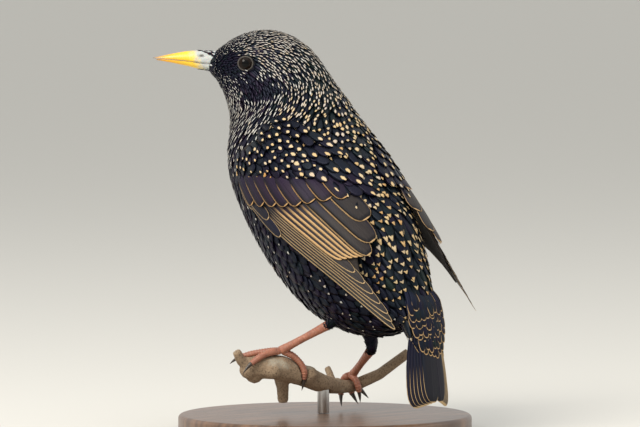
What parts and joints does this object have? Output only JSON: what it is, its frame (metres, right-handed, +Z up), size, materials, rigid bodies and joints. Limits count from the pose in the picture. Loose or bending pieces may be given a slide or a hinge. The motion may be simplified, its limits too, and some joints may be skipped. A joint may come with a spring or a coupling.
{
  "type": "starling",
  "caption": "Life-size songbird in spotted winter plumage with its head turned, gripping a short cut branch on a rod and a flat round base.",
  "frame": {"origin": "centre of the display stand's underside", "axes": "+Z up; the bird's breast faces -Y, its left side is +X, and its head is turned 47 degrees to its left"},
  "size_m": [0.12, 0.1282, 0.1636],
  "materials": {
    "plumage": "glossy black body feathers with buff and white tips",
    "flight_feathers": "satin dark brown vanes with buff edges",
    "bill": "smooth yellow horn, grey-blue at the base",
    "eye": "wet gloss",
    "leg_skin": "scaled reddish skin",
    "claw": "dark horn",
    "bark": "dry knobby bark with pale cut ends",
    "rod": "brushed",
    "stand_wood": "satin varnish"
  },
  "bodies": {
    "root": {"head": "plumage", "neck": "plumage", "torso": "plumage", "thigh_left": "plumage", "thigh_right": "plumage", "wing_left": "flight_feathers", "wing_right": "flight_feathers", "tail": "flight_feathers", "bill_upper": "bill", "bill_lower": "bill", "eye_left": "eye", "eye_right": "eye", "tarsus_left": "leg_skin", "tarsus_right": "leg_skin", "foot_left": "leg_skin", "foot_right": "leg_skin", "claw_left_1": "claw", "claw_left_2": "claw", "claw_left_3": "claw", "claw_left_4": "claw", "claw_right_1": "claw", "claw_right_2": "claw", "claw_right_3": "claw", "claw_right_4": "claw", "perch": "bark", "stand_rod": "rod", "stand_base": "stand_wood"}
  },
  "joints": []
}
